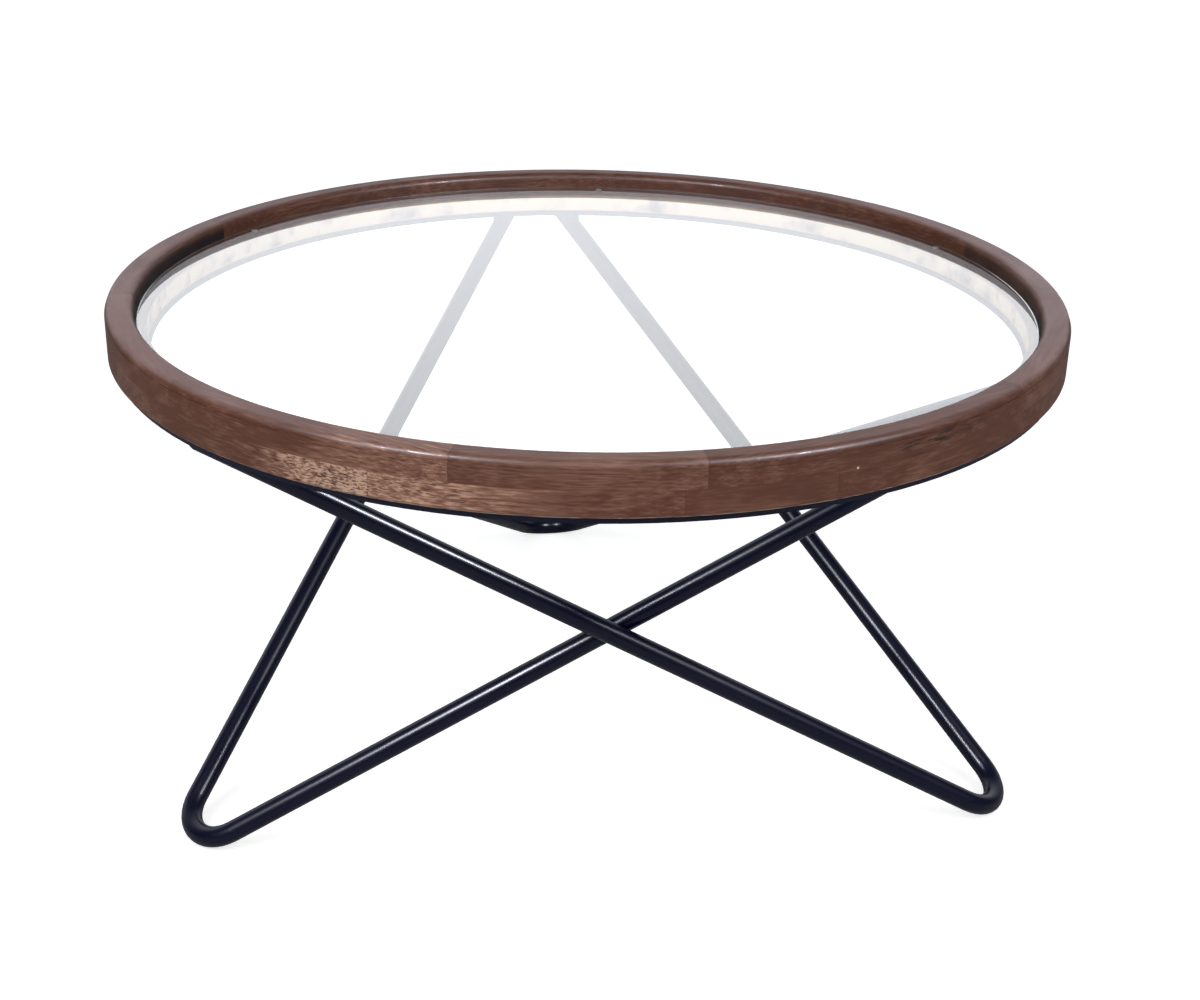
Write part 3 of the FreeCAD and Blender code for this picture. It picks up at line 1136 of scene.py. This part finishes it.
@dataclass
class Bumpers(Fixings):
    """Clear domed bumpers that the glass rests on."""

    node: str = "glass_bumpers"
    name: str = "clear_bumpers"
    slot: Slot = Slot.BUMPER
    circle: float = 0.37175
    start_angle: float = math.radians(20)
    radius: float = 0.003
    edge_round: float = 0.0006
    round_steps: int = 5

    def stations(self, length: float) -> list[Station]:
        """List the rings of one bumper, from its foot up to its rounded edge.

        Args:
            length: Its height.

        Returns:
            The rings.
        """
        rings = [Station(self.radius, 0.0)]
        for step in range(self.round_steps + 1):
            turn = QUARTER_TURN * step / self.round_steps
            radius = self.radius - self.edge_round + self.edge_round * math.cos(turn)
            rings.append(Station(radius, length - self.edge_round + self.edge_round * math.sin(turn)))
        return rings


@dataclass
class Screws(Fixings):
    """Pan head screws with a cross recess, which hold the ring up against the rim."""

    node: str = "rim_screws"
    name: str = "cross_recess_screws"
    slot: Slot = Slot.SCREW
    circle: float = 0.3805
    start_angle: float = math.radians(12)
    sides: int = 48
    arm: float = 0.00045
    most_spin: float = QUARTER_TURN
    seed: int = 3
    head_radius: float = 0.0045
    head_height: float = 0.0028
    head_dome: float = 0.8
    head_steps: int = 6
    recess_reach: float = 0.0023
    recess_depth: float = 0.0016
    recess_floor: float = 0.45
    root_radius: float = 0.0017
    crest_radius: float = 0.0022
    thread_pitch: float = 0.0016
    thread_foot: float = 0.4
    thread_crest: float = 0.7
    tip_length: float = 0.003
    tip_radius: float = 0.0002

    def stations(self, length: float) -> list[Station]:
        """List the rings of one screw, from the recess in its head up to its tip.

        Args:
            length: Length from the head's top to the screw's tip.

        Returns:
            The rings.
        """
        rings = [
            Station(self.recess_reach * self.recess_floor, self.recess_depth, crossed=True),
            Station(self.recess_reach, 0.0, crossed=True),
            Station(self.recess_reach, 0.0),
        ]
        for step in range(1, self.head_steps + 1):
            turn = QUARTER_TURN * step / self.head_steps
            radius = self.recess_reach + (self.head_radius - self.recess_reach) * math.sin(turn)
            rings.append(Station(radius, self.head_height * self.head_dome * (1 - math.cos(turn))))
        rings.append(Station(self.head_radius, self.head_height))
        height = self.head_height
        rings.append(Station(self.root_radius, height))
        while height + self.thread_pitch < length - self.tip_length:
            rings.append(Station(self.root_radius, height + self.thread_foot * self.thread_pitch))
            rings.append(Station(self.crest_radius, height + self.thread_crest * self.thread_pitch))
            height += self.thread_pitch
            rings.append(Station(self.root_radius, height))
        rings.append(Station(self.root_radius, length - self.tip_length))
        rings.append(Station(self.tip_radius, length))
        return rings


@dataclass(frozen=True)
class Lamp:
    """A rectangular lamp that faces the table, with its width and height.

    A radiance of 1 is white. A glossy lamp shows in the table's gloss instead of lighting it. The
    lead is its share of the way towards the table, because a lamp hides one in its own plane.
    """

    name: str
    place: Point
    size: Span
    radiance: float
    colour: Colour
    glossy: bool = False
    lead: float = 0.0


LEFT_PLACE = (-1.13, -1.10, 1.43)
RIGHT_PLACE = (0.97, -1.24, 1.43)
KEY_COLOUR = (0.97, 0.985, 1.03)
SOFTBOX_COLOUR = (0.95, 0.965, 1.07)
FRONT_LAMPS = (
    Lamp("left_key", LEFT_PLACE, (1.0, 1.0), 5.4, KEY_COLOUR),
    Lamp("right_key", RIGHT_PLACE, (1.0, 1.0), 4.0, KEY_COLOUR),
    Lamp("left_softbox", LEFT_PLACE, (0.4, 0.4), 125.0, SOFTBOX_COLOUR, glossy=True, lead=0.03),
    Lamp("right_softbox", RIGHT_PLACE, (0.4, 0.3), 175.0, SOFTBOX_COLOUR, glossy=True, lead=0.03),
)
REAR_PANEL = Lamp("rear_panel", (0.5, 3.2, 1.75), (4.2, 2.4), 1.55, (1.01, 1.01, 1.00), glossy=True)


@dataclass
class Studio:
    """Camera, lamps, world and floor."""

    camera_place: Point = (-0.23024, -1.49070, 0.87754)
    camera_turn: tuple[float, float, float] = (66.194, -1.127, -8.777)
    focal_length: float = 55.362
    sensor_width: float = 36.0
    aim: Point = (0.0, 0.0, 0.25)
    panel_heights: Span = (1.12, 1.87)
    panel_shares: Span = (0.74, 1.26)
    panel_top: Span = (2.80, 2.10)
    panel_bottom: Span = (0.70, 0.95)
    panel_sides: Span = (0.95, 0.60)
    ambient: float = 0.22
    room: float = 0.08
    sweep: float = 1.05
    sweep_rise: Span = (0.35, 0.75)
    mirrored_tint: Colour = (0.96, 0.985, 1.08)
    floor_size: float = 14.0
    floor_albedo: float = 0.80
    mirrored_albedo: float = 0.54
    floor_roughness: float = 0.9
    floor_lifts: Span = (0.72, 1.00)
    floor_lift_reach: Span = (0.5, 3.0)

    def place_camera(self) -> None:
        """Put the camera where the photograph was taken from."""
        data = bpy.data.cameras.new("camera")
        data.lens = self.focal_length
        data.sensor_width = self.sensor_width
        data.sensor_fit = "HORIZONTAL"
        camera = new_object("camera", data)
        camera.location = self.camera_place
        camera.rotation_euler = Euler([math.radians(turn) for turn in self.camera_turn])
        bpy.context.scene.camera = camera

    def hang(self, lamp: Lamp) -> Object:
        """Add a lamp.

        Args:
            lamp: What it is like.

        Returns:
            The lamp's object.
        """
        data = bpy.data.lights.new(lamp.name, "AREA")
        data.shape = "RECTANGLE"
        data.size, data.size_y = lamp.size
        data.energy = lamp.radiance * math.pi * data.size * data.size_y
        data.color = lamp.colour
        hung = new_object(lamp.name, data)
        hung.location = Vector(lamp.place).lerp(Vector(self.aim), lamp.lead)
        hung.rotation_euler = (Vector(self.aim) - hung.location).to_track_quat("-Z", "Y").to_euler()
        hung.visible_camera = False
        hung.visible_glossy = lamp.glossy
        hung.visible_diffuse = not lamp.glossy
        return hung

    def grade(self, panel: Object) -> None:
        """Make the rear panel's brightness change evenly with height, and fade out towards its edges.

        Args:
            panel: The rear panel.
        """
        panel.data.use_nodes = True
        build = TreeBuilder(panel.data.node_tree)
        place = build.node("ShaderNodeNewGeometry").outputs["Position"]
        height = build.axis(place, "Z")
        aside = build.away(build.axis(place, "X"), panel.location.x)
        fades = (
            build.between(aside, *(panel.data.size / 2 * share for share in self.panel_sides)),
            build.between(height, *self.panel_top),
            build.between(height, *self.panel_bottom),
        )
        strength = build.product(build.evenly(height, self.panel_heights, self.panel_shares), *fades)
        build.feed(panel.data.node_tree.nodes["Emission"], {"Strength": strength})

    def light(self, glass: Object) -> None:
        """Set the lamps: soft ones that light the table, and ones that only its gloss shows.

        Args:
            glass: The glass disc, which alone mirrors the rear panel.
        """
        for lamp in FRONT_LAMPS:
            self.hang(lamp)
        panel = self.hang(REAR_PANEL)
        self.grade(panel)
        mirrors = bpy.data.collections.new("mirrors_of_the_rear_panel")
        mirrors.objects.link(glass)
        panel.light_linking.receiver_collection = mirrors

    def set_world(self) -> None:
        """Make a world that is plain white, but a pale sweep in a dim room where it is mirrored."""
        world = bpy.data.worlds.new("studio")
        world.use_nodes = True
        bpy.context.scene.world = world
        build = TreeBuilder(world.node_tree)
        path = build.node("ShaderNodeLightPath").outputs
        glossy = path["Is Glossy Ray"]
        seen = build.math("MAXIMUM", path["Is Camera Ray"], path["Is Transmission Ray"])
        towards = build.node("ShaderNodeTexCoord").outputs["Generated"]
        behind = build.between(build.axis(towards, "Y"), *self.sweep_rise)
        mirrored = build.math("MULTIPLY_ADD", behind, self.sweep - self.room, self.room)
        strength = build.mix_numbers(glossy, self.ambient, mirrored)
        inputs = {
            "Color": build.mix(seen, build.mix(glossy, WHITE, self.mirrored_tint), WHITE),
            "Strength": build.mix_numbers(seen, strength, 1.0),
        }
        build.feed(world.node_tree.nodes["Background"], inputs)

    def lay_floor(self) -> None:
        """Lay a pale floor that looks white, keeps the table's shadow and is clear from below."""
        bpy.ops.mesh.primitive_plane_add(size=self.floor_size)
        floor = bpy.context.object
        floor.name = "floor"
        material, build, shader = new_material("pale_floor")
        path = build.node("ShaderNodeLightPath").outputs
        seen = build.math("MAXIMUM", path["Is Camera Ray"], path["Is Transmission Ray"])
        reach = build.vector_math("LENGTH", build.object_position()).outputs["Value"]
        lift = build.evenly(reach, self.floor_lift_reach, self.floor_lifts)
        shades = [(albedo,) * 3 for albedo in (self.floor_albedo, self.mirrored_albedo)]
        finish = {
            "Base Color": build.mix(path["Is Glossy Ray"], *shades),
            "Roughness": self.floor_roughness,
            "Specular IOR Level": 0.0,
            "Emission Color": (*WHITE, 1.0),
            "Emission Strength": build.product(seen, lift),
        }
        build.feed(shader, finish)
        below = build.node("ShaderNodeNewGeometry").outputs["Backfacing"]
        clear = build.node("ShaderNodeBsdfTransparent").outputs[0]
        surface = build.node("ShaderNodeMixShader", {0: below, 1: shader.outputs[0], 2: clear}).outputs[0]
        build.feed(material.node_tree.nodes["Material Output"], {"Surface": surface})
        floor.data.materials.append(material)

    def build(self, glass: Object) -> None:
        """Set up the whole studio.

        Args:
            glass: The glass disc.
        """
        self.place_camera()
        self.set_world()
        self.light(glass)
        self.lay_floor()
        bpy.context.scene.view_settings.view_transform = "Standard"


def main() -> None:
    """Dress the table piece by piece and set up the studio."""
    logging.basicConfig(level=logging.INFO, format="%(name)s: %(message)s")
    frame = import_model()
    nodes = frame["nodes"]
    Rim(nodes).dress()
    Base(nodes).dress()
    GlassTop(nodes).dress()
    tree = ring_of_pieces_tree()
    Screws().build(tree, ZincPlate().material())
    Bumpers().build(tree, SoftPlastic().material())
    Studio().build(nodes["glass_top"])


if __name__ == "__main__":
    main()
